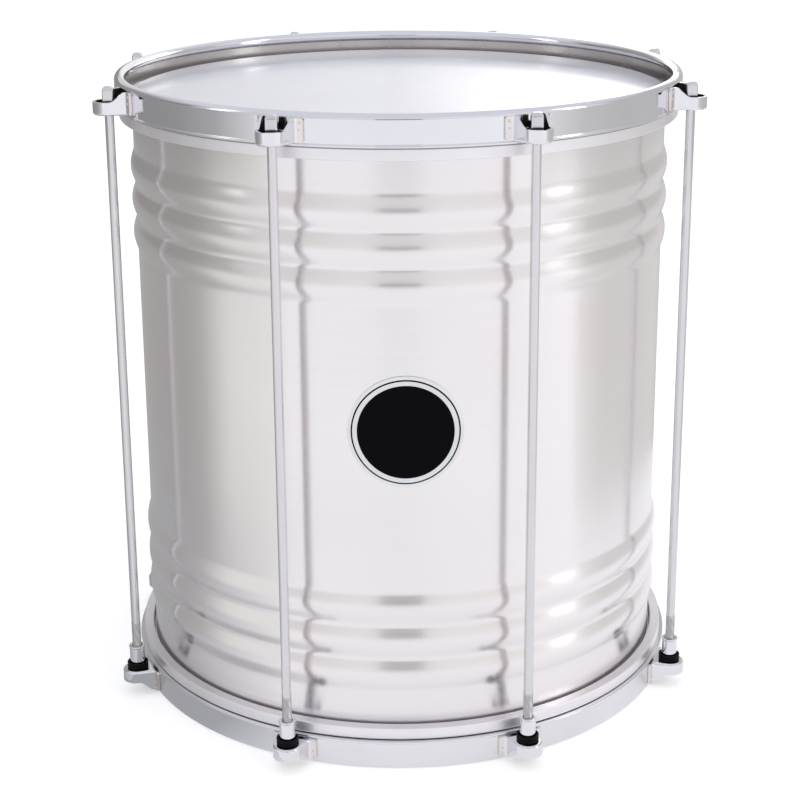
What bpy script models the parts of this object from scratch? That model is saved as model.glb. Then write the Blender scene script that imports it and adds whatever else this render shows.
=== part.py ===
"""Repinique: a double-headed drum of the samba family, 12 inches across.

A beaded aluminium shell carries a film head at each end. Each head is pulled
over the shell by a counterhoop with eight pressed ears, and eight tension rods
draw the two hoops together through flanged barrel nuts. All lengths are in
metres, +Z is up, and the origin is at the middle of the face the drum stands on.
"""
import math

import bmesh
import bpy
from mathutils import Matrix

# Clearance between pieces that touch on the real drum
gap = 0.0003

# Shell
shell_radius = 0.1525
shell_length = 0.335
shell_wall = 0.0012
bead_count = 3
bead_pitch = 0.0193
bead_margin = 0.030
bead_crest = 0.0022
bead_groove = 0.0012

# Heads: a film disc with a collar, held by a flesh hoop
film_thickness = 0.0006
film_collar_depth = 0.0085
film_shoulder = 0.0014
flesh_clearance = 0.0006
flesh_width = 0.0058
flesh_height = 0.0066
flesh_chamfer = 0.0009

# Counterhoops: a band rolled inwards at its free edge, with a flange on the head
rim_rise = 0.0116
hoop_height = 0.017
hoop_wall = 0.0023
hoop_overhang = 0.0024
hoop_lip_height = 0.0010
hoop_lip_flare = 0.0005
hoop_flange_thickness = 0.0020
hoop_roll_radius = 0.0031
hoop_roll_flat = 0.0022

# Ears: pressed cups whose walls flare to two feet spot-welded to the hoop
lug_count = 8
ear_half_width = 0.0079
ear_base_half_width = 0.0096
ear_sheet = 0.0015
ear_foot_length = 0.0036
ear_foot_height = 0.0124
ear_front_height = 0.0072
ear_slope_end = 0.0005
ear_nose = 0.0008
ear_reach = 0.0090
rod_hole_clearance = 0.0007
nut_hole_clearance = 0.0004

# Tension rods and their washers
rod_radius = 0.0025
thread_radius = 0.0027
thread_length = 0.0336
rod_tip_below_nut = 0.0020
rod_tip_chamfer = 0.0007
head_square = 0.00635
head_length = 0.0100
head_flange_radius = 0.0046
head_flange_thickness = 0.0018
head_chamfer = 0.0007
key_turn = math.radians(45)  # Each key stands square to the drum's front
washer_radius = 0.0054
washer_thickness = 0.0010
washer_bore_clearance = 0.0004

# Barrel nuts and the rubber rings that keep them in their ears
nut_radius = 0.00465
nut_length = 0.0174
nut_chamfer = 0.0007
nut_flange_radius = 0.0058
nut_flange_thickness = 0.0015
nut_bore_clearance = 0.0003
ring_radius = 0.0061
ring_height = 0.0035
ring_groove = 0.0007

# Badge: a plain round disc bent to the shell, on the front between two rods
badge_radius = 0.0305
badge_thickness = 0.0008
badge_above_middle = 0.012

# Facets
ring_sides = 40
small_sides = 10
key_sides = 4
badge_sides = 32
bead_steps = 4
roll_inner_steps = 3
roll_outer_steps = 2
ear_round_steps = 8

# Places worked out from the sizes above
overall_height = shell_length + 2 * (gap + film_thickness + rim_rise)
middle_height = overall_height / 2
shell_top = middle_height + shell_length / 2
film_top = shell_top + gap + film_thickness
film_outer_radius = shell_radius + gap + film_thickness
flesh_inner_radius = film_outer_radius + flesh_clearance
flesh_outer_radius = flesh_inner_radius + flesh_width
hoop_lip_radius = flesh_outer_radius + hoop_overhang
hoop_face_radius = hoop_lip_radius - hoop_lip_flare
hoop_bottom = overall_height - hoop_height
hoop_facet_radius = hoop_face_radius * math.cos(math.pi / ring_sides)
hoop_facet_half = hoop_face_radius * math.sin(math.pi / ring_sides)
flesh_top = hoop_bottom - gap
lug_radius = hoop_facet_radius + gap + ear_reach
ear_bottom = hoop_bottom + hoop_lip_height + hoop_lip_flare + gap
ear_floor_top = ear_bottom + ear_sheet
washer_bottom = ear_floor_top + gap
head_bottom = washer_bottom + washer_thickness + gap
nut_floor_top = overall_height - ear_bottom
nut_flange_top = nut_floor_top - ear_sheet - gap
nut_bottom = nut_flange_top - nut_flange_thickness
nut_bore_radius = thread_radius + nut_bore_clearance
rod_tip = nut_bottom - rod_tip_below_nut
weld_distance = 0.00001
flat_degrees = 0.1
sharp_degrees = 35


def clear_scene():
    """Remove every object that is in the file."""
    for old in list(bpy.data.objects):
        bpy.data.objects.remove(old, do_unlink=True)


def new_collection(name):
    """Make a collection under the scene's own."""
    made = bpy.data.collections.new(name)
    bpy.context.scene.collection.children.link(made)
    return made


def finish_material(name, colour, metallic, roughness):
    """Make a Principled material from a colour, a metallic value and a roughness."""
    material = bpy.data.materials.new(name)
    material.use_nodes = True
    shader = material.node_tree.nodes["Principled BSDF"]
    shader.inputs["Base Color"].default_value = (*colour, 1.0)
    shader.inputs["Metallic"].default_value = metallic
    shader.inputs["Roughness"].default_value = roughness
    material.diffuse_color = (*colour, 1.0)
    return material


def link_cutter(blank):
    """Put a blank that only shapes other pieces with the cutters."""
    cutters.objects.link(blank)
    blank.hide_render = True
    blank.display_type = "WIRE"
    return blank


def baked_mesh(source, merge_flat=False):
    """Turn an object with its modifiers into a welded mesh, and remove the object."""
    bpy.context.view_layer.update()
    evaluated = source.evaluated_get(bpy.context.evaluated_depsgraph_get())
    mesh = bpy.data.meshes.new_from_object(evaluated)
    shape = bmesh.new()
    shape.from_mesh(mesh)
    bmesh.ops.transform(shape, matrix=source.matrix_world, verts=shape.verts)
    bmesh.ops.remove_doubles(shape, verts=shape.verts, dist=weld_distance)
    if merge_flat:
        limit = math.radians(flat_degrees)
        bmesh.ops.dissolve_limit(shape, angle_limit=limit, verts=shape.verts, edges=shape.edges)
    bmesh.ops.recalc_face_normals(shape, faces=shape.faces)
    shape.to_mesh(mesh)
    shape.free()
    mesh.shade_smooth()
    mesh.set_sharp_from_angle(angle=math.radians(sharp_degrees))
    bpy.data.objects.remove(source, do_unlink=True)
    return mesh


def turned_blank(name, profile, sides, closed):
    """Turn a profile of (radius, height) points about Z with a Screw modifier."""
    mesh = bpy.data.meshes.new(name)
    shape = bmesh.new()
    corners = [shape.verts.new((radius, 0.0, height)) for radius, height in profile]
    for first, second in zip(corners, corners[1:]):
        shape.edges.new((first, second))
    if closed:
        shape.edges.new((corners[-1], corners[0]))
    shape.to_mesh(mesh)
    shape.free()
    blank = link_cutter(bpy.data.objects.new(name, mesh))
    screw = blank.modifiers.new("turn", "SCREW")
    screw.axis = "Z"
    screw.angle = math.tau
    screw.steps = sides
    screw.render_steps = sides
    screw.use_merge_vertices = True
    screw.merge_threshold = weld_distance
    return blank


def flat_blank(name, outline, thickness, matrix=None):
    """Extrude a closed outline by its thickness, from its own XY plane up Z."""
    curve = bpy.data.curves.new(name, "CURVE")
    curve.dimensions = "2D"
    curve.fill_mode = "BOTH"
    curve.extrude = thickness / 2
    spline = curve.splines.new("POLY")
    spline.points.add(len(outline) - 1)
    for point, (across, along) in zip(spline.points, outline):
        point.co = (across, along, 0.0, 1.0)
    spline.use_cyclic_u = True
    blank = link_cutter(bpy.data.objects.new(name, curve))
    lift = Matrix.Translation((0.0, 0.0, thickness / 2))
    blank.matrix_world = matrix @ lift if matrix else lift
    return link_cutter(bpy.data.objects.new(name, baked_mesh(blank, merge_flat=True)))


def combine(base, tool, operation):
    """Join a tool to a base, or cut the base with it, by an exact Boolean."""
    joint = base.modifiers.new(operation.lower(), "BOOLEAN")
    joint.operation = operation
    joint.solver = "EXACT"
    joint.object = tool
    mesh = baked_mesh(base)
    bpy.data.objects.remove(tool, do_unlink=True)
    return link_cutter(bpy.data.objects.new(mesh.name, mesh))


def place(name, mesh, material, parent=None, location=(0.0, 0.0, 0.0), turn=0.0):
    """Make one named piece from a mesh, with its origin at the given place."""
    piece = bpy.data.objects.new(name, mesh)
    drum.objects.link(piece)
    if not mesh.materials:
        mesh.materials.append(material)
    piece.location = location
    piece.rotation_euler = (0.0, 0.0, turn)
    piece.parent = parent
    return piece


def arc(centre, radius, start, end, steps):
    """Points along an arc, with its angles in degrees."""
    points = []
    for step in range(steps + 1):
        angle = math.radians(start + (end - start) * step / steps)
        points.append((centre[0] + radius * math.cos(angle), centre[1] + radius * math.sin(angle)))
    return points


def lug_place(index, height=0.0):
    """Location and turn of one lug, from the front right and anticlockwise from above."""
    turn = math.tau * (index - 0.5) / lug_count
    location = (lug_radius * math.sin(turn), -lug_radius * math.cos(turn), height)
    return location, turn


def bead_group(top):
    """Outer profile of one group of beads, downwards from the height of its top."""
    points = []
    for bead in range(bead_count):
        upper = shell_radius if bead == 0 else shell_radius - bead_groove
        lower = shell_radius if bead == bead_count - 1 else shell_radius - bead_groove
        swell = shell_radius + bead_crest - (upper + lower) / 2
        for step in range(bead_steps):
            share = step / bead_steps
            radius = upper + (lower - upper) * share + swell * 4 * share * (1 - share)
            points.append((radius, top - (bead + share) * bead_pitch))
    points.append((shell_radius, top - bead_count * bead_pitch))
    return points


def make_shell():
    """The spun aluminium tube, with three beads pressed outwards near each end."""
    upper_top = shell_top - bead_margin
    lower_top = overall_height - upper_top + bead_count * bead_pitch
    profile = [(shell_radius, shell_top)]
    profile += bead_group(upper_top)
    profile += bead_group(lower_top)
    profile.append((shell_radius, overall_height - shell_top))
    blank = turned_blank("shell", profile, ring_sides, closed=False)
    wall = blank.modifiers.new("wall", "SOLIDIFY")
    wall.thickness = shell_wall
    wall.offset = -1.0
    wall.use_even_offset = True
    place("shell", baked_mesh(blank), aluminium)


def make_film_mesh():
    """A drumhead's film: a flat disc whose collar folds down round the shell."""
    collar_bottom = film_top - film_collar_depth
    inner_radius = film_outer_radius - film_thickness
    inner_top = film_top - film_thickness
    profile = [
        (0.0, film_top),
        (film_outer_radius - film_shoulder, film_top),
        (film_outer_radius, film_top - film_shoulder),
        (film_outer_radius, collar_bottom),
        (inner_radius, collar_bottom),
        (inner_radius, inner_top),
        (0.0, inner_top),
    ]
    return baked_mesh(turned_blank("film", profile, ring_sides, closed=False))


def make_flesh_hoop_mesh():
    """The aluminium hoop that grips the film's edge, under the counterhoop's flange."""
    bottom = flesh_top - flesh_height
    profile = [
        (flesh_inner_radius, flesh_top),
        (flesh_outer_radius, flesh_top),
        (flesh_outer_radius, bottom + flesh_chamfer),
        (flesh_outer_radius - flesh_chamfer, bottom),
        (flesh_inner_radius, bottom),
    ]
    return baked_mesh(turned_blank("flesh_hoop", profile, ring_sides, closed=True))


def make_counterhoop_mesh():
    """The steel band: lip and flange at the head, rolled inwards at the free edge."""
    flat_half = hoop_roll_flat / 2
    roll_height = overall_height - math.sqrt(hoop_roll_radius**2 - flat_half**2)
    roll_centre = (hoop_face_radius - hoop_roll_radius, roll_height)
    flat_angle = math.degrees(math.asin(flat_half / hoop_roll_radius))
    band_inner = hoop_face_radius - hoop_wall
    join_angle = math.degrees(math.acos((band_inner - roll_centre[0]) / hoop_roll_radius))
    lip_top = hoop_bottom + hoop_lip_height
    flange_top = hoop_bottom + hoop_flange_thickness
    flange_inner = flesh_inner_radius + flesh_chamfer
    profile = [
        (flange_inner, hoop_bottom),
        (flange_inner, flange_top),
        (band_inner, flange_top),
    ]
    profile += arc(roll_centre, hoop_roll_radius, 360 - join_angle, 90 + flat_angle, roll_inner_steps)
    profile += arc(roll_centre, hoop_roll_radius, 90 - flat_angle, 0, roll_outer_steps)
    profile += [
        (hoop_face_radius, lip_top + hoop_lip_flare),
        (hoop_lip_radius, lip_top),
        (hoop_lip_radius, hoop_bottom),
    ]
    return baked_mesh(turned_blank("counterhoop", profile, ring_sides, closed=True))


def make_ear_mesh(hole_radius):
    """A pressed ear: floor with a hole, walls that flare and rise to the hoop, and two feet."""
    foot_back = ear_reach
    foot_front = ear_reach - ear_sheet
    foot_end = ear_base_half_width + ear_foot_length
    bend = max(foot_end - hoop_facet_half, 0.0) * math.tan(math.tau / ring_sides)
    foot = [
        (ear_base_half_width, foot_front),
        (foot_end, foot_front + bend),
        (foot_end, foot_back + bend),
    ]
    if bend > weld_distance:
        foot.append((hoop_facet_half, foot_back))
    outer = arc((0.0, -ear_nose), ear_half_width, 180, 360, ear_round_steps)
    outer += foot + [(-across, along) for across, along in reversed(foot)]
    flare = (ear_base_half_width - ear_half_width) / (foot_front + ear_nose)
    inner_half_width = ear_half_width - ear_sheet
    inner_end = inner_half_width + flare * (2 * foot_back + ear_nose)
    inner = arc((0.0, -ear_nose), inner_half_width, 180, 360, ear_round_steps)
    inner += [(inner_end, 2 * foot_back), (-inner_end, 2 * foot_back)]
    ear = flat_blank("ear", outer, ear_foot_height)
    floor_level = Matrix.Translation((0.0, 0.0, ear_sheet))
    cup = flat_blank("cup", inner, ear_foot_height, floor_level)
    ear = combine(ear, cup, "DIFFERENCE")
    beyond = 4 * ear_half_width
    slope_rise = 2 * (ear_foot_height - ear_front_height)
    slope_run = 2 * (foot_front - ear_slope_end)
    side = [
        (-beyond, ear_front_height),
        (0.0, ear_front_height),
        (slope_run, ear_front_height + slope_rise),
        (-beyond, ear_front_height + slope_rise),
    ]
    upright = Matrix(((0, 0, 1, -beyond / 2), (1, 0, 0, 0), (0, 1, 0, 0), (0, 0, 0, 1)))
    ear = combine(ear, flat_blank("slope", side, beyond, upright), "DIFFERENCE")
    drill = [(0.0, ear_foot_height), (hole_radius, ear_foot_height), (hole_radius, -ear_sheet)]
    drill.append((0.0, -ear_sheet))
    ear = combine(ear, turned_blank("drill", drill, small_sides, closed=False), "DIFFERENCE")
    return baked_mesh(ear)


def make_rod_mesh():
    """A tension rod: threaded end, plain shank, flange and square key head."""
    thread_top = rod_tip + thread_length
    flange_top = head_bottom + head_flange_thickness
    profile = [
        (0.0, flange_top),
        (head_flange_radius, flange_top),
        (head_flange_radius, head_bottom),
        (rod_radius, head_bottom),
        (rod_radius, thread_top),
        (thread_radius, thread_top - (thread_radius - rod_radius)),
        (thread_radius, rod_tip + rod_tip_chamfer),
        (thread_radius - rod_tip_chamfer, rod_tip),
        (0.0, rod_tip),
    ]
    rod = turned_blank("rod", profile, small_sides, closed=False)
    corner = head_square / math.sqrt(2)
    head_top = flange_top + head_length
    root = flange_top - head_flange_thickness / 2
    key = [(0.0, head_top), (corner - head_chamfer, head_top), (corner, head_top - head_chamfer)]
    key += [(corner, root), (0.0, root)]
    rod = combine(rod, turned_blank("head", key, key_sides, closed=False), "UNION")
    return baked_mesh(rod)


def make_washer_mesh():
    """The flat washer between a rod's flange and the floor of its ear."""
    bore = rod_radius + washer_bore_clearance
    top = washer_bottom + washer_thickness
    profile = [(bore, top), (washer_radius, top), (washer_radius, washer_bottom), (bore, washer_bottom)]
    return baked_mesh(turned_blank("washer", profile, small_sides, closed=True))


def make_nut_mesh():
    """A flanged barrel nut, pushed up through the ear's floor from below."""
    top = nut_bottom + nut_length
    profile = [
        (nut_bore_radius, top),
        (nut_radius - nut_chamfer, top),
        (nut_radius, top - nut_chamfer),
        (nut_radius, nut_flange_top),
        (nut_flange_radius, nut_flange_top),
        (nut_flange_radius, nut_bottom),
        (nut_bore_radius, nut_bottom),
    ]
    return baked_mesh(turned_blank("nut", profile, small_sides, closed=True))


def make_ring_mesh():
    """The grooved rubber ring round a nut's barrel, on top of the ear's floor."""
    bore = nut_radius + gap
    bottom = nut_floor_top + gap
    top = bottom + ring_height
    profile = [
        (bore, top),
        (ring_radius, top),
        (ring_radius - ring_groove, bottom + ring_height / 2),
        (ring_radius, bottom),
        (bore, bottom),
    ]
    return baked_mesh(turned_blank("ring", profile, small_sides, closed=True))


def make_badge():
    """A plain round badge, cut from a thin band that lies just outside the shell."""
    inner = shell_radius + gap
    outer = inner + badge_thickness
    centre = middle_height + badge_above_middle
    top = centre + 2 * badge_radius
    bottom = centre - 2 * badge_radius
    profile = [(inner, top), (outer, top), (outer, bottom), (inner, bottom)]
    band = turned_blank("badge", profile, ring_sides, closed=True)
    outline = arc((0.0, 0.0), badge_radius, 0, 360, badge_sides)[:-1]
    forwards = Matrix(((1, 0, 0, 0), (0, 0, -1, 0), (0, 1, 0, centre), (0, 0, 0, 1)))
    disc = flat_blank("disc", outline, 2 * shell_radius, forwards)
    place("badge", baked_mesh(combine(band, disc, "INTERSECT")), enamel)


clear_scene()
drum = new_collection("repinique")
cutters = new_collection("cutters")

aluminium = finish_material("brushed_aluminium", (0.74, 0.74, 0.74), 1.0, 0.34)
film_white = finish_material("milky_film", (0.86, 0.86, 0.88), 0.0, 0.22)
bright_aluminium = finish_material("bright_aluminium", (0.84, 0.84, 0.85), 1.0, 0.18)
chrome = finish_material("chromed_steel", (0.80, 0.80, 0.82), 1.0, 0.06)
steel = finish_material("plated_steel", (0.72, 0.72, 0.72), 1.0, 0.22)
rubber = finish_material("black_rubber", (0.02, 0.02, 0.02), 0.0, 0.45)
enamel = finish_material("badge_enamel", (0.03, 0.03, 0.03), 0.0, 0.25)

make_shell()
make_badge()

# The two ends are the same pieces, and the lower one is turned over
film_mesh = make_film_mesh()
flesh_mesh = make_flesh_hoop_mesh()
counterhoop_mesh = make_counterhoop_mesh()
rod_ear_mesh = make_ear_mesh(rod_radius + rod_hole_clearance)
nut_ear_mesh = make_ear_mesh(nut_radius + nut_hole_clearance)
rod_mesh = make_rod_mesh()
washer_mesh = make_washer_mesh()
nut_mesh = make_nut_mesh()
ring_mesh = make_ring_mesh()

top_end = bpy.data.objects.new("top_end", None)
drum.objects.link(top_end)
bottom_end = bpy.data.objects.new("bottom_end", None)
bottom_end.location = (0.0, 0.0, overall_height)
bottom_end.rotation_euler = (math.pi, 0.0, 0.0)
drum.objects.link(bottom_end)

place("batter_head", film_mesh, film_white, top_end)
place("batter_flesh_hoop", flesh_mesh, bright_aluminium, top_end)
place("top_counterhoop", counterhoop_mesh, chrome, top_end)
place("resonant_head", film_mesh, film_white, bottom_end)
place("resonant_flesh_hoop", flesh_mesh, bright_aluminium, bottom_end)
place("bottom_counterhoop", counterhoop_mesh, chrome, bottom_end)

for lug in range(1, lug_count + 1):
    ear_location, ear_turn = lug_place(lug, ear_bottom)
    place(f"top_ear_{lug}", rod_ear_mesh, chrome, top_end, ear_location, ear_turn)
    flipped_location = (ear_location[0], -ear_location[1], ear_bottom)
    flipped_turn = math.pi - ear_turn
    place(f"bottom_ear_{lug}", nut_ear_mesh, chrome, bottom_end, flipped_location, flipped_turn)
    axis_location, axis_turn = lug_place(lug)
    place(f"tension_rod_{lug}", rod_mesh, steel, None, axis_location, key_turn)
    place(f"rod_washer_{lug}", washer_mesh, steel, None, axis_location, axis_turn)
    place(f"barrel_nut_{lug}", nut_mesh, chrome, None, axis_location, axis_turn)
    place(f"rubber_ring_{lug}", ring_mesh, rubber, None, axis_location, axis_turn)

bpy.context.view_layer.update()
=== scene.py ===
"""Looks for the repinique: fine surfaces, materials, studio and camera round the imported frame.

All lengths are in metres. The drum stands on z = 0 with its axis on Z and its badge towards -Y.
"""
import math

import bmesh
import bpy
from mathutils import Matrix, Vector


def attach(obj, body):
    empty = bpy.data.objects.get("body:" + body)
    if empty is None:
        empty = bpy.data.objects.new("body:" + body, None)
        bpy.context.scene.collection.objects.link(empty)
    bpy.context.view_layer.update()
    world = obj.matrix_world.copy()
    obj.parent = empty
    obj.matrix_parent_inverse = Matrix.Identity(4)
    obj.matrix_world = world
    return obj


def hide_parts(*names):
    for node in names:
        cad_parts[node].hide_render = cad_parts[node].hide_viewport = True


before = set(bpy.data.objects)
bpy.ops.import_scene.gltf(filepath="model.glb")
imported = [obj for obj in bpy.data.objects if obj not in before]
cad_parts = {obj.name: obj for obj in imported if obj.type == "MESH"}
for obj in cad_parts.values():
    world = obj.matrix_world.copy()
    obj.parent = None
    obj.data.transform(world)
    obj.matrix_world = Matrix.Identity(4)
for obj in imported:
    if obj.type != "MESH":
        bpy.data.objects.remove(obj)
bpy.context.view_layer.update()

# Sizes of the pieces. They are the solids' own, apart from the beads' shape and the nuts' barrels,
# which follow the photograph more closely, and details that the solids leave out.
overall = 0.360
shell_radius = 0.1525
shell_wall = 0.0012
shell_low, shell_high = 0.0125, 0.3475
bead_count, bead_pitch, bead_margin = 3, 0.0193, 0.030
bead_crest, bead_groove, bead_power = 0.0022, 0.0003, 1.5
film_inner, film_outer = 0.1528, 0.1534
film_top, film_thickness, film_collar = 0.3484, 0.0006, 0.0085
flesh_inner, flesh_outer, flesh_low, flesh_high = 0.1540, 0.1598, 0.3361, 0.3427
face_radius, lip_radius, band_inner, flange_inner = 0.1617, 0.1622, 0.1594, 0.1549
hoop_low, lip_high, flange_high = 0.343, 0.344, 0.345
roll_radius = 0.0031
lug_count, lug_radius = 8, 0.1705
ear_low, ear_half, ear_base_half, ear_sheet = 0.3448, 0.0079, 0.0096, 0.0015
ear_height, ear_front, ear_foot, ear_nose = 0.0124, 0.0072, 0.0132, 0.0008
rod_radius, thread_radius, thread_pitch = 0.0025, 0.0027, 0.0010
thread_low, thread_high = 0.0099, 0.0435
head_low, head_flange, head_high = 0.3479, 0.3497, 0.3597
key_half = 0.00635 / 2
badge_radius, badge_centre = 0.0305, 0.192
washer_inner, washer_outer, washer_low, washer_high = 0.0029, 0.0054, 0.3466, 0.3476
nut_bore, nut_barrel, nut_lip, nut_flange = 0.0030, 0.0044, 0.0047, 0.0058
nut_solid_radius = 0.00465  # the solid nut's barrel, which the ear's hole clears
nut_low, nut_flange_high, nut_high = 0.0119, 0.0134, 0.0293
ring_inner, ring_outer, ring_groove, ring_low, ring_high = 0.00495, 0.0061, 0.0055, 0.0155, 0.0190

# How finely round pieces are divided
hoop_sides, film_sides, badge_sides = 256, 192, 128
small_sides, washer_sides, rod_sides = 48, 40, 32

looks = bpy.data.collections.new("repinique_looks")
bpy.context.scene.collection.children.link(looks)


# ---------------------------------------------------------------- mesh tools
weld_distance = 0.000002
bevel_angle, smooth_angle = 38, 36


def arc(centre, radius, start, end, steps):
    """Points along an arc, with its angles in degrees."""
    angles = [math.radians(start + (end - start) * k / steps) for k in range(steps + 1)]
    return [(centre[0] + radius * math.cos(a), centre[1] + radius * math.sin(a)) for a in angles]


def rounded(points, radius, steps=4, closed=True):
    """Replace each corner of an outline by a small curve that takes less than half of a side."""
    longest = 0.45
    out = []
    count = len(points)
    for k, point in enumerate(points):
        if not closed and k in (0, count - 1):
            out.append(point)
            continue
        here = Vector(point)
        before, after = Vector(points[k - 1]) - here, Vector(points[(k + 1) % count]) - here
        reach = min(radius, before.length * longest, after.length * longest)
        start, end = here + before.normalized() * reach, here + after.normalized() * reach
        for step in range(steps + 1):
            t = step / steps
            out.append(tuple(start * (1 - t) ** 2 + here * 2 * t * (1 - t) + end * t * t))
    return out


def finish_mesh(name, shape, sharp=40):
    """Weld and orient a bmesh, and make it a smoothly shaded mesh."""
    bmesh.ops.remove_doubles(shape, verts=shape.verts, dist=weld_distance)
    bmesh.ops.recalc_face_normals(shape, faces=shape.faces)
    mesh = bpy.data.meshes.new(name)
    shape.to_mesh(mesh)
    shape.free()
    mesh.shade_smooth()
    mesh.set_sharp_from_angle(angle=math.radians(sharp))
    return mesh


def turned(name, profile, sides, closed=True, ripple=None):
    """Turn a profile of (radius, height) about Z. A ripple changes the radius along the way."""
    shape = bmesh.new()
    rings = []
    for radius, height in profile:
        if radius == 0.0:
            rings.append([shape.verts.new((0, 0, height))] * sides)
            continue
        ring = []
        for k in range(sides):
            a = math.tau * k / sides
            r = radius + (ripple(a, height, radius) if ripple else 0.0)
            ring.append(shape.verts.new((r * math.sin(a), -r * math.cos(a), height)))
        rings.append(ring)
    pairs = list(zip(rings, rings[1:])) + ([(rings[-1], rings[0])] if closed else [])
    for low, high in pairs:
        for k in range(sides):
            n = (k + 1) % sides
            corners = list(dict.fromkeys((low[k], low[n], high[n], high[k])))
            if len(corners) > 2:
                shape.faces.new(corners)
    return finish_mesh(name, shape)


def solid(name, outline, low, high, matrix=None):
    """A straight prism on a closed outline."""
    shape = bmesh.new()
    bottom = [shape.verts.new((x, y, low)) for x, y in outline]
    top = [shape.verts.new((x, y, high)) for x, y in outline]
    shape.faces.new(bottom[::-1])
    shape.faces.new(top)
    for k in range(len(outline)):
        n = (k + 1) % len(outline)
        shape.faces.new((bottom[k], bottom[n], top[n], top[k]))
    if matrix:
        bmesh.ops.transform(shape, matrix=matrix, verts=shape.verts)
    bmesh.ops.recalc_face_normals(shape, faces=shape.faces)
    mesh = bpy.data.meshes.new(name)
    shape.to_mesh(mesh)
    shape.free()
    return mesh


def carve(name, base, steps, bevel):
    """Apply exact Booleans with a list of (operation, mesh), then bevel the edges."""
    work = bpy.data.objects.new(name, base)
    looks.objects.link(work)
    tools = []
    for operation, mesh in steps:
        tool = bpy.data.objects.new(name + "_tool", mesh)
        looks.objects.link(tool)
        cut = work.modifiers.new("cut", "BOOLEAN")
        cut.operation, cut.solver, cut.object = operation, "EXACT", tool
        tools.append(tool)
    edge = work.modifiers.new("edge", "BEVEL")
    edge.width, edge.segments, edge.limit_method = bevel, 3, "ANGLE"
    edge.angle_limit = math.radians(bevel_angle)
    edge.use_clamp_overlap = True
    bpy.context.view_layer.update()
    evaluated = work.evaluated_get(bpy.context.evaluated_depsgraph_get())
    mesh = bpy.data.meshes.new_from_object(evaluated)
    mesh.name = name
    mesh.shade_smooth()
    mesh.set_sharp_from_angle(angle=math.radians(smooth_angle))
    for spare in [work, *tools]:
        bpy.data.objects.remove(spare, do_unlink=True)
    return mesh


def dress(name, mesh, body, nodes, material=None, matrix=None):
    """Put a piece in the scene, on its body, in place of its CAD nodes.

    A mesh that already has materials keeps them.
    """
    piece = bpy.data.objects.new(name, mesh)
    looks.objects.link(piece)
    if material and not mesh.materials:
        mesh.materials.append(material)
    if matrix:
        piece.matrix_world = matrix
    normals = piece.modifiers.new("normals", "WEIGHTED_NORMAL")
    normals.keep_sharp = True
    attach(piece, body)
    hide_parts(*nodes)
    return piece


# ---------------------------------------------------------------- materials
noise_low, noise_high = 0.3, 0.7  # where a noise texture's values begin and end in practice


def new_material(name, colour, metallic, roughness):
    """A Principled material, with its tree and its shader."""
    material = bpy.data.materials.new(name)
    material.use_nodes = True
    tree = material.node_tree
    shader = tree.nodes["Principled BSDF"]
    shader.inputs["Base Color"].default_value = (*colour, 1)
    shader.inputs["Metallic"].default_value = metallic
    shader.inputs["Roughness"].default_value = roughness
    return material, tree, shader


def noise(tree, scale, stretch=(1, 1, 1), detail=4.0):
    """A noise texture in object space, stretched by axis."""
    place = tree.nodes.new("ShaderNodeTexCoord")
    mapping = tree.nodes.new("ShaderNodeMapping")
    mapping.inputs["Scale"].default_value = stretch
    texture = tree.nodes.new("ShaderNodeTexNoise")
    texture.inputs["Scale"].default_value = scale
    texture.inputs["Detail"].default_value = detail
    tree.links.new(place.outputs["Object"], mapping.inputs["Vector"])
    tree.links.new(mapping.outputs["Vector"], texture.inputs["Vector"])
    return texture.outputs["Fac"]


def spread(tree, value, low, high):
    """Map a noise value to a range."""
    node = tree.nodes.new("ShaderNodeMapRange")
    node.inputs["From Min"].default_value = noise_low
    node.inputs["From Max"].default_value = noise_high
    node.inputs["To Min"].default_value = low
    node.inputs["To Max"].default_value = high
    tree.links.new(value, node.inputs["Value"])
    return node.outputs["Result"]


def tint(tree, value, first, second):
    """Mix two colours by a noise value."""
    ramp = tree.nodes.new("ShaderNodeValToRGB")
    low, high = ramp.color_ramp.elements
    low.position, low.color = noise_low, (*first, 1)
    high.position, high.color = noise_high, (*second, 1)
    tree.links.new(value, ramp.inputs["Fac"])
    return ramp.outputs["Color"]


def relief(tree, shader, value, strength, distance):
    """Bump a shader by a value."""
    bump = tree.nodes.new("ShaderNodeBump")
    bump.inputs["Strength"].default_value = strength
    bump.inputs["Distance"].default_value = distance
    tree.links.new(value, bump.inputs["Height"])
    tree.links.new(bump.outputs["Normal"], shader.inputs["Normal"])


def brushed_aluminium():
    """Satin aluminium, brushed round the shell, so its highlights spread up and down."""
    material, tree, shader = new_material("brushed_aluminium_look", (0.80, 0.79, 0.78), 1.0, 0.3)
    streaks = noise(tree, 1.0, stretch=(4, 4, 900), detail=2.0)
    clouds = noise(tree, 9.0, stretch=(1, 1, 1.6), detail=5.0)
    tree.links.new(spread(tree, streaks, 0.215, 0.250), shader.inputs["Roughness"])
    pale, warm = (0.895, 0.860, 0.872), (0.868, 0.830, 0.824)
    tree.links.new(tint(tree, clouds, pale, warm), shader.inputs["Base Color"])
    shader.inputs["Anisotropic"].default_value = 0.8
    shader.inputs["Anisotropic Rotation"].default_value = 0.25
    tangent = tree.nodes.new("ShaderNodeTangent")
    tangent.direction_type, tangent.axis = "RADIAL", "Z"
    tree.links.new(tangent.outputs["Tangent"], shader.inputs["Tangent"])
    relief(tree, shader, streaks, strength=0.012, distance=0.00004)
    return material


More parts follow.
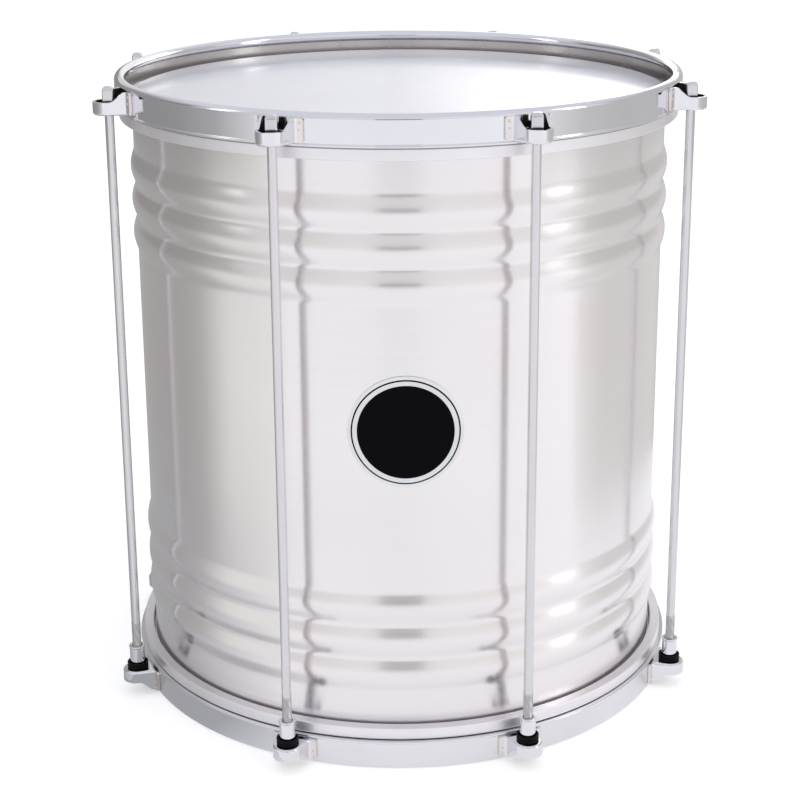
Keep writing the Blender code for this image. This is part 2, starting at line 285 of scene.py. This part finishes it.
def plated(name, colour, low, high, peel):
    """Plated metal with faint smears in its gloss, from low to high, and a slight orange peel."""
    material, tree, shader = new_material(name, colour, 1.0, low)
    tree.links.new(spread(tree, noise(tree, 60.0), low, high), shader.inputs["Roughness"])
    dim = tuple(c * 0.95 for c in colour)
    tree.links.new(tint(tree, noise(tree, 22.0), colour, dim), shader.inputs["Base Color"])
    relief(tree, shader, noise(tree, 130.0, detail=2.0), strength=peel, distance=0.00005)
    return material


def milky_film():
    """Milky coated film: a glossy surface with faint cloudiness and a fine coating grain."""
    material, tree, shader = new_material("milky_film_look", (0.86, 0.86, 0.90), 0.0, 0.2)
    clouds = tint(tree, noise(tree, 14.0), (0.885, 0.880, 0.925), (0.855, 0.848, 0.895))
    tree.links.new(clouds, shader.inputs["Base Color"])
    tree.links.new(spread(tree, noise(tree, 40.0), 0.14, 0.22), shader.inputs["Roughness"])
    shader.inputs["Coat Weight"].default_value = 0.35
    shader.inputs["Coat Roughness"].default_value = 0.08
    relief(tree, shader, noise(tree, 1400.0, detail=2.0), strength=0.06, distance=0.00003)
    return material


def black_rubber():
    """Matt black rubber with a fine moulded grain."""
    material, tree, shader = new_material("black_rubber_look", (0.003, 0.003, 0.004), 0.0, 0.45)
    shader.inputs["Specular IOR Level"].default_value = 0.10
    tree.links.new(spread(tree, noise(tree, 700.0), 0.36, 0.55), shader.inputs["Roughness"])
    relief(tree, shader, noise(tree, 1600.0), strength=0.25, distance=0.00004)
    return material


def enamel(name, colour, metallic, roughness, shine):
    """Printed enamel with a slight orange peel, silvery where it is partly metallic."""
    material, tree, shader = new_material(name, colour, metallic, roughness)
    gloss = spread(tree, noise(tree, 120.0), roughness, roughness + 0.08)
    tree.links.new(gloss, shader.inputs["Roughness"])
    second = tuple(c * 0.93 for c in colour)
    tree.links.new(tint(tree, noise(tree, 90.0), colour, second), shader.inputs["Base Color"])
    shader.inputs["Specular IOR Level"].default_value = shine
    relief(tree, shader, noise(tree, 420.0, detail=1.0), strength=0.08, distance=0.00003)
    return material


aluminium = brushed_aluminium()
bright = plated("bright_aluminium_look", (0.93, 0.91, 0.93), 0.42, 0.52, 0.05)
chrome = plated("chrome_look", (0.825, 0.815, 0.845), 0.03, 0.09, 0.05)
steel = plated("plated_steel_look", (0.73, 0.715, 0.73), 0.15, 0.25, 0.05)
thread_steel = plated("thread_look", (0.62, 0.61, 0.615), 0.26, 0.38, 0.08)
# Near-black plating for the ears' cup insides: painted shade in the hollows
painted_hollow_shade = plated("ear_hollow_painted_shade", (0.05, 0.046, 0.046), 0.35, 0.5, 0.1)
# Dim brownish plating for the hoops' inner band: painted shade and painted reflection of the dark
# recess
painted_band_shade = plated("hoop_band_painted_shade", (0.63, 0.59, 0.57), 0.18, 0.30, 0.12)
# Dark grey plating for the flesh channel's top edge: painted shade in the gap under the hoop's lip
painted_seam_shade = plated("seam_painted_shade", (0.42, 0.405, 0.42), 0.3, 0.45, 0.1)
weld = plated("weld_look", (0.82, 0.765, 0.745), 0.10, 0.30, 0.30)
film = milky_film()
rubber = black_rubber()
badge_silver = enamel("badge_silver_look", (0.99, 0.985, 0.99), 0.15, 0.30, 0.6)
badge_white = enamel("badge_white_look", (0.80, 0.79, 0.81), 0.9, 0.26, 0.5)
badge_black = enamel("badge_black_look", (0.002, 0.002, 0.003), 0.0, 0.42, 0.05)


# ---------------------------------------------------------------- shell and badge
def bead_radius(depth):
    """Outer radius at a depth below the top of a group of beads.

    A bead is a parabola from groove to groove, raised to a power that narrows its crest.
    """
    bead = min(int(depth / bead_pitch), bead_count - 1)
    share = depth / bead_pitch - bead
    upper = shell_radius if bead == 0 else shell_radius - bead_groove
    lower = shell_radius if bead == bead_count - 1 else shell_radius - bead_groove
    swell = shell_radius + bead_crest - (upper + lower) / 2
    return upper + (lower - upper) * share + swell * (4 * share * (1 - share)) ** bead_power


def shell_outer():
    """Outer profile of the shell downwards, with the valleys between beads softened."""
    fine, soften, margin = 0.0004, 4, 0.002
    group = bead_count * bead_pitch
    tops = (shell_high - bead_margin, overall - (shell_high - bead_margin) + group)
    heights = [shell_high, shell_high - 0.5 * bead_margin]
    for top in tops:
        span = group + 2 * margin
        count = round(span / fine)
        heights += [top + margin - span * k / count for k in range(count + 1)]
    heights += [shell_low + 0.5 * bead_margin, shell_low]

    def raw(z):
        for top in tops:
            if 0 <= top - z <= group:
                return bead_radius(top - z)
        return shell_radius

    spans = range(-soften, soften + 1)
    return [(sum(raw(z + fine * k) for k in spans) / len(spans), z) for z in heights]


outer = shell_outer()
inner = [(r - shell_wall, z) for r, z in outer][::-1]
dress("beaded_shell", turned("beaded_shell", outer + inner, hoop_sides), "shell", ["shell"],
      aluminium)


def badge_mesh():
    """A round badge bent to the shell: a silver rim, a dark line, a white ring, a black disc."""
    silver, white, black = 0, 1, 2
    rings = [  # radius, height over the back, colour
        (0.0, 0.00062, black), (0.0200, 0.00062, black), (0.0255, 0.00060, black),
        (0.0257, 0.00072, white), (0.0279, 0.00074, white), (0.0281, 0.00060, black),
        (0.0287, 0.00060, black), (0.0289, 0.00074, silver), (0.0300, 0.00072, silver),
        (badge_radius, 0.00045, silver), (badge_radius, 0.0, silver), (0.0, 0.0, silver),
    ]
    gap = 0.0003
    back = shell_radius + gap
    shape = bmesh.new()
    made = []
    for radius, height, _ in rings:
        loop = []
        for k in range(1 if radius == 0 else badge_sides):
            a = math.tau * k / badge_sides
            across, up = radius * math.cos(a), radius * math.sin(a)
            reach = back + height
            depth = math.sqrt(reach * reach - across * across)
            loop.append(shape.verts.new((across, -depth, badge_centre + up)))
        made.append(loop * badge_sides if radius == 0 else loop)
    for low, high, (_, _, colour) in zip(made, made[1:], rings[1:]):
        for k in range(badge_sides):
            n = (k + 1) % badge_sides
            corners = list(dict.fromkeys((low[k], low[n], high[n], high[k])))
            if len(corners) > 2:
                shape.faces.new(corners).material_index = colour
    return finish_mesh("plain_badge", shape, sharp=30)


badge = badge_mesh()
for material in (badge_silver, badge_white, badge_black):
    badge.materials.append(material)
dress("plain_badge", badge, "shell", ["badge"])


# ---------------------------------------------------------------- heads and hoops
turn_over = Matrix.Translation((0, 0, overall)) @ Matrix.Rotation(math.pi, 4, "X")


def film_profile():
    """A film disc with a soft shoulder and its collar."""
    inner_top, low = film_top - film_thickness, film_top - film_collar
    outer_bend = 0.0016
    inner_bend = outer_bend - film_thickness
    rings = (0.0, 0.06, 0.12)
    outline = [(radius, film_top) for radius in rings]
    outline += arc((film_outer - outer_bend, film_top - outer_bend), outer_bend, 90, 0, 8)
    outline += [(film_outer, low), (film_inner, low)]
    outline += arc((film_inner - inner_bend, inner_top - inner_bend), inner_bend, 0, 90, 6)
    return outline + [(radius, inner_top) for radius in rings[::-1]]


def flesh_profile():
    """The channel that grips the film: a plain bar with rounded edges."""
    corners = [
        (flesh_inner, flesh_high), (flesh_outer, flesh_high), (flesh_outer, flesh_low),
        (flesh_inner, flesh_low),
    ]
    return rounded(corners, radius=0.0008, steps=6)


def hoop_profile():
    """The counterhoop: flange and lip at the head, a band, and a round rolled edge."""
    centre = (face_radius - roll_radius, overall - roll_radius)
    join = math.degrees(math.acos((band_inner - centre[0]) / roll_radius))
    roll = arc(centre, roll_radius, 360 - join, 0, 44)
    foot = [
        (face_radius, lip_high + 0.0005), (lip_radius, lip_high), (lip_radius, hoop_low),
        (flange_inner, hoop_low), (flange_inner, flange_high), (band_inner, flange_high),
    ]
    return roll + rounded([roll[-1], *foot, roll[0]], radius=0.0006, closed=False)[1:-1]


film_mesh = turned("film", film_profile(), film_sides, closed=False)
top_channel = turned("top_flesh_channel", flesh_profile(), film_sides)
low_channel = turned("low_flesh_channel", flesh_profile(), film_sides)
low_channel.materials.append(bright)
hoop_mesh = turned("rolled_hoop", hoop_profile(), hoop_sides)
for mesh, first, second in ((top_channel, bright, painted_seam_shade), (hoop_mesh, chrome, painted_band_shade)):
    mesh.materials.append(first)
    mesh.materials.append(second)
# The top edge of the upper channel, in the gap under the hoop's lip, takes the painted shade
painted_shade_height = flesh_high - 0.0010
for face in top_channel.polygons:
    face.material_index = 1 if face.center.z > painted_shade_height else 0
# The hoop's inner band, between flange and roll, takes the painted shade
band_low, band_high = flange_high + 0.0003, overall - 2 * roll_radius + 0.0012
for face in hoop_mesh.polygons:
    x, y, z = face.center
    inside = math.hypot(x, y) < band_inner + 0.0002 and band_low < z < band_high
    face.material_index = 1 if inside else 0
ends = (("top_end", "batter", "top", top_channel, None),
        ("bottom_end", "resonant", "bottom", low_channel, turn_over))
for body, head, end, channel, matrix in ends:
    dress(f"{head}_film", film_mesh, "shell", [f"{head}_head"], film, matrix)
    dress(f"{head}_flesh_channel", channel, body, [f"{head}_flesh_hoop"],
          None, matrix)
    dress(f"{end}_rolled_hoop", hoop_mesh, body, [f"{end}_counterhoop"], None,
          matrix)


# ---------------------------------------------------------------- ears
cup_depth, cup_above = 0.02, 0.03  # where the cutters end, beyond the ear
welds = [  # marks on the feet: across, up and radius
    (0.0114, 0.0102, 0.0010), (-0.0114, 0.0102, 0.0010),
    (0.0111, 0.0066, 0.0007), (-0.0111, 0.0066, 0.0007),
]


def hoop_line(x, radius):
    """How far in from the rod's axis a circle round the drum's axis lies, at x across."""
    return lug_radius - math.sqrt(radius * radius - x * x)


def ear_half_outline(front):
    """Right half of an ear from above, tip to foot, with how much its lower edge rounds."""
    bend_in, bend_out = 0.0020, 0.0018
    start = Vector((ear_half, -ear_nose))
    corner = Vector((ear_base_half, hoop_line(ear_base_half, front)))
    wall = (corner - start).normalized()
    into, out_x = corner - wall * bend_in, ear_base_half + bend_out
    out = Vector((out_x, hoop_line(out_x, front)))
    half = [(x, y, 1.0) for x, y in arc((0.0, -ear_nose), ear_half, 270, 360, 24)]
    half += [(*start.lerp(into, k / 4), 1.0) for k in range(1, 4)]
    for k in range(9):
        t = k / 8
        half.append((*(into * (1 - t) ** 2 + corner * 2 * t * (1 - t) + out * t * t), 1.0 - t))
    for k in range(1, 4):
        x = out_x + (ear_foot - out_x) * k / 3
        half.append((x, hoop_line(x, front), 0.0))
    return half


def rounded_prism(name, outline, high, radius):
    """A prism on (x, y, share) points, whose lower edge rounds in by the radius times the share."""
    shape = bmesh.new()
    count = len(outline)
    inward = []
    for k in range(count):
        (x0, y0, _), (x1, y1, _) = outline[k - 1], outline[(k + 1) % count]
        inward.append(Vector((y0 - y1, x1 - x0)).normalized())
    levels = [(radius - x, radius - y) for x, y in arc((0.0, 0.0), radius, 0, 90, 6)]
    rings = []
    for z, inset in levels + [(high, 0.0)]:
        ring = []
        for (x, y, share), side in zip(outline, inward):
            x += side.x * inset * share
            y += side.y * inset * share
            ring.append(shape.verts.new((x, y, z)))
        rings.append(ring)
    shape.faces.new(rings[0][::-1])
    shape.faces.new(rings[-1])
    for low, top in zip(rings, rings[1:]):
        for k in range(count):
            n = (k + 1) % count
            shape.faces.new((low[k], low[n], top[n], top[k]))
    bmesh.ops.recalc_face_normals(shape, faces=shape.faces)
    mesh = bpy.data.meshes.new(name)
    shape.to_mesh(mesh)
    shape.free()
    return mesh


def ear_mesh(name, hole):
    """A pressed ear: cup with a sloping rim, flared into two feet that follow the hoop, with
    painted shade inside the cup.
    """
    back = face_radius + 0.0001
    front = back + ear_sheet
    right = ear_half_outline(front)
    across = [ear_foot - 2 * ear_foot * k / 24 for k in range(25)]
    outline = right + [(x, hoop_line(x, back), 0.0) for x in across]
    outline += [(-x, y, share) for x, y, share in right[:0:-1]]
    slope = (ear_base_half - ear_half) / (hoop_line(ear_base_half, front) + ear_nose)
    inner_half = ear_half - ear_sheet
    cup = arc((0.0, -ear_nose), inner_half, 180, 360, 40)
    cup_end = inner_half + slope * (cup_depth + ear_nose)
    cup += [(cup_end, cup_depth), (-cup_end, cup_depth)]
    rise_start, rise_length = -0.0015, 0.0085
    rise_high = ear_height - ear_front + 0.0001
    rise = [(-0.05, ear_front), (rise_start, ear_front)]
    for k in range(1, 11):
        t = k / 10
        ease = t * t * (3 - 2 * t)
        rise.append((rise_start + rise_length * t, ear_front + rise_high * ease))
    rise += [(0.0075, cup_above), (-0.05, cup_above)]
    sideways = Matrix(((0, 0, 1, -0.03), (1, 0, 0, 0), (0, 1, 0, 0), (0, 0, 0, 1)))
    plate = rounded([(-ear_foot, 0.0), (ear_foot, 0.0), (ear_foot, ear_height),
                     (-ear_foot, ear_height)], radius=0.0016, steps=6)
    facing = Matrix(((1, 0, 0, 0), (0, 0, 1, 0), (0, 1, 0, 0), (0, 0, 0, 1)))
    drill = arc((0.0, 0.0), hole, 0, 360, 48)[:-1]
    steps = [
        ("DIFFERENCE", solid("cup", cup, ear_sheet, cup_above)),
        ("DIFFERENCE", solid("rise", rise, 0.0, 0.06, sideways)),
        ("INTERSECT", solid("plate", plate, -0.03, 0.03, facing)),
        ("DIFFERENCE", solid("drill", drill, -0.01, 0.01)),
    ]
    for x, height, radius in welds:
        dimple = bmesh.new()
        bmesh.ops.create_uvsphere(dimple, u_segments=16, v_segments=10, radius=radius)
        shift = Matrix.Translation((x, hoop_line(abs(x), front) - radius * 0.6, height))
        bmesh.ops.transform(dimple, matrix=shift, verts=dimple.verts)
        mesh = bpy.data.meshes.new("dimple")
        dimple.to_mesh(mesh)
        dimple.free()
        steps.append(("DIFFERENCE", mesh))
    block = rounded_prism(name, outline, high=ear_height, radius=0.0015)
    mesh = carve(name, block, steps, bevel=0.0004)
    mesh.materials.clear()
    for material in (chrome, painted_hollow_shade, weld):
        mesh.materials.append(material)
    # Faces inside the cup, below its rim, take the painted shade; the feet take the weld tint; the
    # rest is chrome
    cup_half = inner_half + 0.00015
    for face in mesh.polygons:
        x, y, z = face.center
        out = y + ear_nose
        inside = math.hypot(x, out) < cup_half or (out > 0 and abs(x) < cup_half + slope * out)
        low_enough = z < ear_front - 0.0012 or y > 0.001
        on_foot = abs(x) > ear_base_half + 0.0008
        if inside and z > ear_sheet - 0.0001 and low_enough:
            face.material_index = 1
        else:
            face.material_index = 2 if on_foot else 0
    return mesh


rod_ear = ear_mesh("rod_ear", rod_radius + 0.0007)
nut_ear = ear_mesh("nut_ear", nut_solid_radius + 0.0004)


# ---------------------------------------------------------------- rods, washers, nuts and rings
def thread_ripple(angle, height, radius):
    """The depth of a screw thread, which fades out at its upper end."""
    depth, run_out = 0.0005, 0.0015
    if radius < thread_radius - 0.0003:
        return 0.0
    phase = (height / thread_pitch - angle / math.tau) % 1.0
    fade = min(1.0, max(0.0, (thread_high - height) / run_out))
    return -depth * abs(2 * phase - 1) * fade


def rod_profile():
    """The rod and its flange, downwards."""
    flange_inside, flange_outside = 0.0030, 0.0046
    profile = [(0.0, head_flange)]
    flange = [(flange_inside, head_flange), (flange_outside, head_flange),
              (flange_outside, head_low), (rod_radius, head_low)]
    profile += rounded(flange, radius=0.0005, closed=False)
    profile += [(rod_radius, 0.25), (rod_radius, 0.15), (rod_radius, thread_high + 0.0002)]
    turns = 170
    span = thread_high - thread_low - 0.0006
    profile += [(thread_radius, thread_high - span * k / turns) for k in range(turns + 1)]
    return profile + [(thread_radius - 0.0008, thread_low), (0.0, thread_low)]


def key_mesh():
    """The square key head, with rounded corners and a domed, chamfered top."""
    square = rounded([(-key_half, -key_half), (key_half, -key_half), (key_half, key_half),
                      (-key_half, key_half)], radius=0.0010, steps=6)
    levels = [  # share of the width, height
        (1.0, head_flange - 0.0004), (0.97, head_high - 0.0020), (0.93, head_high - 0.0012),
        (0.84, head_high - 0.0006), (0.66, head_high - 0.0002), (0.40, head_high), (0.0, head_high),
    ]
    shape = bmesh.new()
    rows = []
    for scale, height in levels:
        if scale == 0.0:
            rows.append([shape.verts.new((0, 0, height))] * len(square))
        else:
            rows.append([shape.verts.new((x * scale, y * scale, height)) for x, y in square])
    shape.faces.new(rows[0][::-1])
    for low, high in zip(rows, rows[1:]):
        for k in range(len(square)):
            n = (k + 1) % len(square)
            corners = list(dict.fromkeys((low[k], low[n], high[n], high[k])))
            if len(corners) > 2:
                shape.faces.new(corners)
    return finish_mesh("key_head", shape)


rod_mesh = turned("threaded_rod", rod_profile(), rod_sides, closed=False, ripple=thread_ripple)
rod_mesh.materials.append(steel)
rod_mesh.materials.append(thread_steel)
for face in rod_mesh.polygons:
    face.material_index = 1 if face.center.z < thread_high else 0
key_head = key_mesh()

washer_outline = [
    (washer_inner, washer_high), (washer_outer, washer_high), (washer_outer, washer_low),
    (washer_inner, washer_low),
]
washer_mesh = turned("washer", rounded(washer_outline, radius=0.00025, steps=3), washer_sides)
nut_outline = [
    (nut_bore, nut_high), (nut_barrel, nut_high), (nut_lip, nut_high - 0.0003),
    (nut_lip, nut_high - 0.0008), (nut_barrel, nut_high - 0.0012), (nut_barrel, nut_flange_high),
    (nut_flange, nut_flange_high), (nut_flange, nut_low), (nut_bore, nut_low),
]
nut_mesh = turned("barrel_nut", rounded(nut_outline, radius=0.0004), small_sides)
ring_middle, groove_half = (ring_low + ring_high) / 2, 0.0005
ring_outline = [
    (ring_inner, ring_high), (ring_outer, ring_high), (ring_outer, ring_middle + groove_half),
    (ring_groove, ring_middle), (ring_outer, ring_middle - groove_half), (ring_outer, ring_low),
    (ring_inner, ring_low),
]
ring_mesh = turned("rubber_ring", rounded(ring_outline, radius=0.0009, steps=6), small_sides)

for lug in range(1, lug_count + 1):
    angle = math.tau * (lug - 0.5) / lug_count
    x, y = lug_radius * math.sin(angle), -lug_radius * math.cos(angle)
    upright = Matrix.Translation((x, y, 0)) @ Matrix.Rotation(angle, 4, "Z")
    top_place = Matrix.Translation((0, 0, ear_low)) @ upright
    facing = Matrix.Rotation(math.pi - angle, 4, "Z")
    low_place = turn_over @ Matrix.Translation((x, -y, ear_low)) @ facing
    dress(f"top_cup_ear_{lug}", rod_ear, "top_end", [f"top_ear_{lug}"],
          None, top_place)
    dress(f"bottom_cup_ear_{lug}", nut_ear, "bottom_end", [f"bottom_ear_{lug}"],
          None, low_place)
    dress(f"threaded_rod_{lug}", rod_mesh, f"rod_{lug}", [f"tension_rod_{lug}"],
          None, upright)
    dress(f"key_head_{lug}", key_head, f"rod_{lug}", [f"tension_rod_{lug}"],
          steel, Matrix.Translation((x, y, 0)))
    dress(f"flat_washer_{lug}", washer_mesh, "top_end", [f"rod_washer_{lug}"],
          steel, upright)
    dress(f"lipped_nut_{lug}", nut_mesh, "bottom_end", [f"barrel_nut_{lug}"],
          chrome, upright)
    dress(f"grooved_ring_{lug}", ring_mesh, "bottom_end", [f"rubber_ring_{lug}"],
          rubber, upright)


# ---------------------------------------------------------------- studio
warm, cool = (1.0, 0.993, 0.985), (0.98, 1.0, 1.035)  # casts, which multiply the greys


def calculate(tree, operation, first, second=0.0, third=0.0):
    """A Math node on values or sockets."""
    node = tree.nodes.new("ShaderNodeMath")
    node.operation = operation
    for socket, value in zip(node.inputs, (first, second, third)):
        if isinstance(value, bpy.types.NodeSocket):
            tree.links.new(value, socket)
        else:
            socket.default_value = value
    return node.outputs[0]


def step_between(tree, value, low, high):
    """Zero below low and one above high, with a soft step between them."""
    node = tree.nodes.new("ShaderNodeMapRange")
    node.interpolation_type = "SMOOTHSTEP"
    node.inputs["From Min"].default_value = low
    node.inputs["From Max"].default_value = high
    tree.links.new(value, node.inputs["Value"])
    return node.outputs["Result"]


def blend(tree, factor, first, second):
    """Mix two colours, given as sockets or as tuples."""
    node = tree.nodes.new("ShaderNodeMix")
    node.data_type = "RGBA"
    tree.links.new(factor, node.inputs["Factor"])
    for name, value in (("A", first), ("B", second)):
        if isinstance(value, bpy.types.NodeSocket):
            tree.links.new(value, node.inputs[name])
        else:
            node.inputs[name].default_value = (*value, 1)
    return node.outputs["Result"]


def compass_levels(tree, source, stops, cast=warm):
    """Greys by compass direction, from a direction or a place round the drum, with a cast."""
    axes = tree.nodes.new("ShaderNodeSeparateXYZ")
    tree.links.new(source, axes.inputs["Vector"])
    compass = calculate(tree, "ARCTAN2", axes.outputs["X"],
                        calculate(tree, "MULTIPLY", axes.outputs["Y"], -1))
    ramp = tree.nodes.new("ShaderNodeValToRGB")
    marks = ramp.color_ramp.elements
    while len(marks) < len(stops):
        marks.new(0.5)
    for mark, (degrees, level) in zip(marks, stops):
        mark.position = (degrees + 180) / 360
        mark.color = (*(level * share for share in cast), 1)
    tree.links.new(calculate(tree, "MULTIPLY_ADD", compass, 1 / math.tau, 0.5), ramp.inputs["Fac"])
    return axes.outputs, ramp.outputs["Color"]


def studio_world():
    """Pale studio walls, greyer at the sides and back, under a bluish ceiling.

    The camera sees white all round. Metal and glass see the white backdrop behind the drum too.
    """
    ceiling_start, ceiling_full = 0.35, 0.75
    backdrop_fade, backdrop_full = 0.93, 0.97
    world = bpy.data.worlds.new("studio")
    bpy.context.scene.world = world
    world.use_nodes = True
    tree = world.node_tree
    place = tree.nodes.new("ShaderNodeTexCoord")
    axes, room = compass_levels(tree, place.outputs["Generated"], walls)
    room = blend(tree, step_between(tree, axes["Z"], ceiling_start, ceiling_full), room, ceiling)
    path = tree.nodes.new("ShaderNodeLightPath")
    mirrored = calculate(tree, "MAXIMUM", path.outputs["Is Glossy Ray"],
                         path.outputs["Is Transmission Ray"])
    towards = math.radians(backdrop_azimuth)
    facing = calculate(tree, "MULTIPLY", axes["X"], math.sin(towards))
    facing = calculate(tree, "MULTIPLY_ADD", axes["Y"], -math.cos(towards), facing)
    behind = step_between(tree, facing, backdrop_fade, backdrop_full)
    backdrop = calculate(tree, "MULTIPLY", mirrored, behind)
    white = calculate(tree, "MAXIMUM", path.outputs["Is Camera Ray"], backdrop)
    tree.links.new(blend(tree, white, room, (1, 1, 1)), tree.nodes["Background"].inputs["Color"])


def studio_floor():
    """A pale floor that shows white and still takes the drum's shadow."""
    shape = bmesh.new()
    bmesh.ops.create_grid(shape, x_segments=1, y_segments=1, size=6)
    mesh = bpy.data.meshes.new("floor")
    shape.to_mesh(mesh)
    shape.free()
    floor = bpy.data.objects.new("floor", mesh)
    floor.location.z = -0.0002
    bpy.context.scene.collection.objects.link(floor)
    material = bpy.data.materials.new("pale_floor")
    material.use_nodes = True
    tree = material.node_tree
    shader = tree.nodes["Principled BSDF"]
    shader.inputs["Base Color"].default_value = (0.866, 0.86, 0.85, 1)
    shader.inputs["Roughness"].default_value = 0.9
    shader.inputs["Specular IOR Level"].default_value = 0.0
    shader.inputs["Emission Color"].default_value = (1, 1, 1, 1)
    path = tree.nodes.new("ShaderNodeLightPath")
    mirrored = calculate(tree, "MAXIMUM", path.outputs["Is Glossy Ray"],
                         path.outputs["Is Transmission Ray"])
    lift = calculate(tree, "MULTIPLY", mirrored, floor_lift_mirrored)
    lift = calculate(tree, "MULTIPLY_ADD", path.outputs["Is Camera Ray"], floor_lift, lift)
    tree.links.new(lift, shader.inputs["Emission Strength"])
    mesh.materials.append(material)


def card(name, near, far, stops, cast=warm):
    """A curved grey card round the drum that only glossy reflections see.

    It reaches from one (radius, height) edge to another, and its greys follow the compass.
    """
    shape = bmesh.new()
    rows = []
    steps = 24
    start, end = stops[0][0], stops[-1][0]
    for k in range(steps + 1):
        a = math.radians(start + (end - start) * k / steps)
        places = [(r * math.sin(a), -r * math.cos(a), z) for r, z in (near, far)]
        rows.append([shape.verts.new(place) for place in places])
    for (a, b), (c, d) in zip(rows, rows[1:]):
        shape.faces.new((a, c, d, b))
    mesh = bpy.data.meshes.new(name)
    shape.to_mesh(mesh)
    shape.free()
    holder = bpy.data.objects.new(name, mesh)
    bpy.context.scene.collection.objects.link(holder)
    material = bpy.data.materials.new(name + "_grey")
    material.use_nodes = True
    tree = material.node_tree
    shader = tree.nodes["Principled BSDF"]
    shader.inputs["Base Color"].default_value = (0, 0, 0, 1)
    shader.inputs["Specular IOR Level"].default_value = 0.0
    shader.inputs["Emission Strength"].default_value = 1.0
    place = tree.nodes.new("ShaderNodeTexCoord")
    levels = compass_levels(tree, place.outputs["Object"], stops, cast)[1]
    tree.links.new(levels, shader.inputs["Emission Color"])
    mesh.materials.append(material)
    holder.visible_camera = holder.visible_diffuse = holder.visible_shadow = False


def softbox(name, azimuth, height, distance, width, tall, level):
    """A soft area lamp of a given radiance that faces the middle of the drum."""
    lamp = bpy.data.lights.new(name, "AREA")
    lamp.shape, lamp.size, lamp.size_y = "RECTANGLE", width, tall
    lamp.energy = math.pi * width * tall * level
    holder = bpy.data.objects.new(name, lamp)
    a = math.radians(azimuth)
    holder.location = (distance * math.sin(a), -distance * math.cos(a), height)
    aim = Vector((0, 0, overall / 2)) - holder.location
    holder.rotation_euler = aim.to_track_quat("-Z", "Y").to_euler()
    holder.visible_camera = False
    bpy.context.scene.collection.objects.link(holder)


# Compass directions in degrees from the front, positive to the right, with their brightness
walls = [
    (-180, 0.95), (-173, 0.74), (-155, 0.70), (-146, 0.36), (-93, 0.28), (-89, 0.68),
    (-45, 0.73), (-20, 0.86), (0, 0.78), (20, 0.90), (50, 0.88), (89, 0.84), (93, 0.58),
    (146, 0.54), (155, 1.00), (173, 1.12), (180, 0.95),
]
ceiling = (0.75, 0.78, 0.865)
backdrop_azimuth = 165
floor_lift, floor_lift_mirrored = 0.46, 0.30
studio_world()
studio_floor()

# Reflection cards: on the floor at the drum's foot, beside it, behind it and in front of it
low_edge, middle_edge, high_edge = (0.42, 0.0005), (0.42, 0.26), (0.42, 0.42)
card("left_floor_card", (0.160, 0.0005), low_edge,
     [(-150, 0.45), (-120, 0.40), (-80, 0.42), (-58, 0.66), (-38, 0.90)], cool)
card("left_rim_card", (0.160, 0.0008), (0.195, 0.0008),
     [(-95, 0.40), (-80, 0.40), (-44, 0.44), (-22, 0.84)], cool)
card("left_low_card", low_edge, middle_edge,
     [(-150, 0.44), (-128, 0.40), (-92, 0.40), (-80, 0.46), (-66, 0.78), (-42, 0.88)])
card("left_high_card", middle_edge, high_edge,
     [(-150, 0.30), (-128, 0.29), (-80, 0.34), (-62, 0.44), (-46, 0.78)])
card("right_low_card", low_edge, middle_edge, [(66, 0.86), (80, 0.70), (128, 0.70), (150, 0.50)])
card("right_high_card", middle_edge, high_edge,
     [(46, 0.84), (62, 0.63), (80, 0.58), (128, 0.56), (150, 0.55)])
card("back_card", (0.42, 0.37), (0.42, 0.62), [(138, 1.9), (162, 1.9), (172, 1.3), (180, 0.95)])
card("front_card", (2.0, 0.24), (2.0, 0.56), [(-9.5, 0.06), (7.5, 0.06)])
softbox("left_box", -75, height=1.6, distance=3.6, width=0.62, tall=2.0, level=1.3)
softbox("right_box", 71, height=1.6, distance=3.6, width=0.63, tall=2.0, level=3.1)

# ---------------------------------------------------------------- camera
# Distance from the drum's middle in metres, angles in degrees, and roll in radians
camera_distance, camera_rise, camera_pitch = 1.079, 17.84, 16.43
camera_azimuth, camera_roll, camera_shift = -1.0, -0.0065, -0.10
focal_pixels, picture_pixels, sensor = 1790, 800, 36
rise, pitch, azimuth = (math.radians(v) for v in (camera_rise, camera_pitch, camera_azimuth))
data = bpy.data.cameras.new("camera")
data.sensor_width = sensor
data.lens = focal_pixels / picture_pixels * sensor
data.shift_y = camera_shift
camera = bpy.data.objects.new("camera", data)
bpy.context.scene.collection.objects.link(camera)
camera.location = (
    camera_distance * math.cos(rise) * math.sin(azimuth),
    -camera_distance * math.cos(rise) * math.cos(azimuth),
    overall / 2 + camera_distance * math.sin(rise),
)
look = -Vector((
    math.cos(pitch) * math.sin(azimuth), -math.cos(pitch) * math.cos(azimuth), math.sin(pitch)))
level = look.to_track_quat("-Z", "Y").to_matrix().to_4x4()
camera.rotation_euler = (level @ Matrix.Rotation(camera_roll, 4, "Z")).to_euler()
bpy.context.scene.camera = camera
bpy.context.scene.view_settings.view_transform = "Standard"
